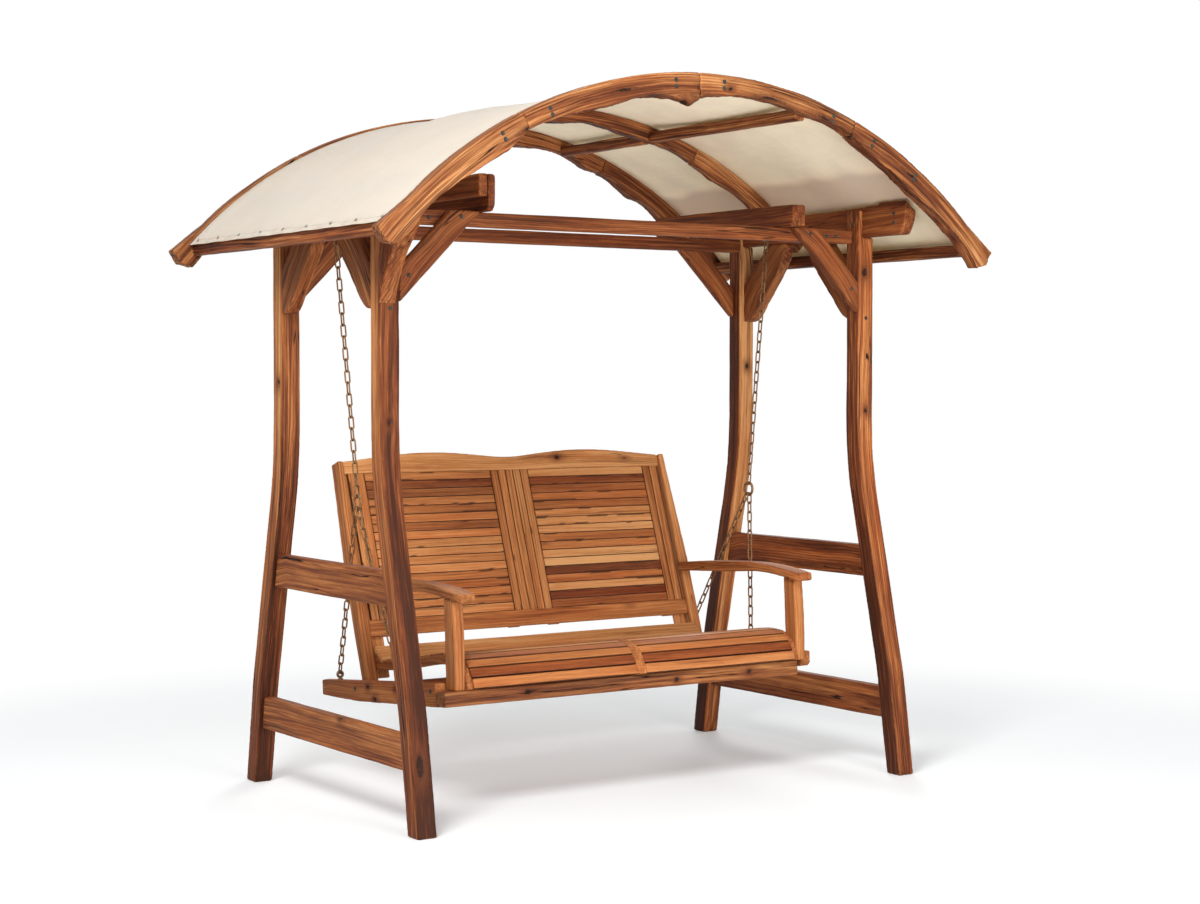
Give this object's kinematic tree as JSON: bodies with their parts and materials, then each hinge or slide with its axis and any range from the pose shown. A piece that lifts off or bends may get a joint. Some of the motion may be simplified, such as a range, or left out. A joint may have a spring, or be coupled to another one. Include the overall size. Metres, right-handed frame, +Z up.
{
  "type": "garden swing bench",
  "caption": "Timber garden swing (jhoola): slatted two-seat bench on chains in a splayed-leg stand under an arched cloth canopy.",
  "frame": {"origin": "on the floor, midway between the four feet", "axes": "+X along the bench, -Y the side the sitter faces, +Z up"},
  "size_m": [2.268, 1.44, 2.212],
  "materials": {
    "leg_timber": "oiled, plain sawn, satin",
    "rail_timber": "oiled, plain sawn, satin",
    "beam_timber": "oiled, rough sawn, satin",
    "brace_timber": "oiled, live edge, satin",
    "rib_timber": "oiled, live edge with knots and checks, satin",
    "bench_timber": "oiled, planed, satin",
    "seat_slat_timber": "oiled, planed slats of mixed tone, satin",
    "back_slat_timber": "oiled, planed slats of mixed tone, satin",
    "canopy_cloth": "woven cotton canvas, natural, matt",
    "chain_steel": "weathered, brown, low sheen",
    "eye_steel": "weathered, low sheen",
    "bolt_steel": "zinc plated, dulled"
  },
  "bodies": {
    "stand": {"canopy_cloth": "canopy_cloth", "canopy_tacks": "bolt_steel", "corbel_front_left": "brace_timber", "cross_beam_left": "beam_timber", "cross_beam_right": "beam_timber", "cross_ledgers": "beam_timber", "eave_rails": "rib_timber", "frame_bolts": "bolt_steel", "hanger_eyes": "eye_steel", "knee_brace_front_left": "brace_timber", "knee_brace_front_right": "brace_timber", "knee_brace_rear_left": "brace_timber", "knee_brace_rear_right": "brace_timber", "leg_front_left": "leg_timber", "leg_front_right": "leg_timber", "leg_rear_left": "leg_timber", "leg_rear_right": "leg_timber", "long_beam_front": "beam_timber", "long_beam_rear": "beam_timber", "lower_rail_left": "rail_timber", "lower_rail_right": "rail_timber", "purlins": "rib_timber", "rib_front": "rib_timber", "rib_middle": "rib_timber", "rib_rear": "rib_timber", "side_beam_left": "beam_timber", "side_beam_right": "beam_timber", "side_brace_front_left": "brace_timber", "side_brace_front_right": "brace_timber", "side_brace_rear_left": "brace_timber", "side_brace_rear_right": "brace_timber", "upper_rail_left": "rail_timber", "upper_rail_right": "rail_timber"},
    "upper_chains": {"upper_chain_left": "chain_steel", "upper_chain_right": "chain_steel"},
    "bench": {"arm_left": "bench_timber", "arm_posts": "bench_timber", "arm_right": "bench_timber", "back_post_left": "bench_timber", "back_post_right": "bench_timber", "back_slats": "back_slat_timber", "back_stiles": "bench_timber", "back_strips": "bench_timber", "bench_bolts": "bolt_steel", "chain_rings": "chain_steel", "contour_boards": "bench_timber", "crest_rail": "bench_timber", "front_bearer": "bench_timber", "front_chain_left": "chain_steel", "front_chain_right": "chain_steel", "lower_back_rail": "bench_timber", "rear_bearer": "bench_timber", "rear_chain_left": "chain_steel", "rear_chain_right": "chain_steel", "seat_divider": "bench_timber", "seat_eyes": "eye_steel", "seat_rear_board": "seat_slat_timber", "seat_slats": "seat_slat_timber", "sled_left": "bench_timber", "sled_right": "bench_timber"}
  },
  "joints": [
    {"name": "swing", "type": "hinge", "parent": "stand", "child": "upper_chains", "pos_m": [0, 0.106, 1.784], "axis": [1, 0, 0], "range_deg": [-30, 30]},
    {"name": "seat_rock", "type": "hinge", "parent": "upper_chains", "child": "bench", "pos_m": [0, 0.106, 0.92], "axis": [1, 0, 0], "range_deg": [-10, 10]}
  ]
}
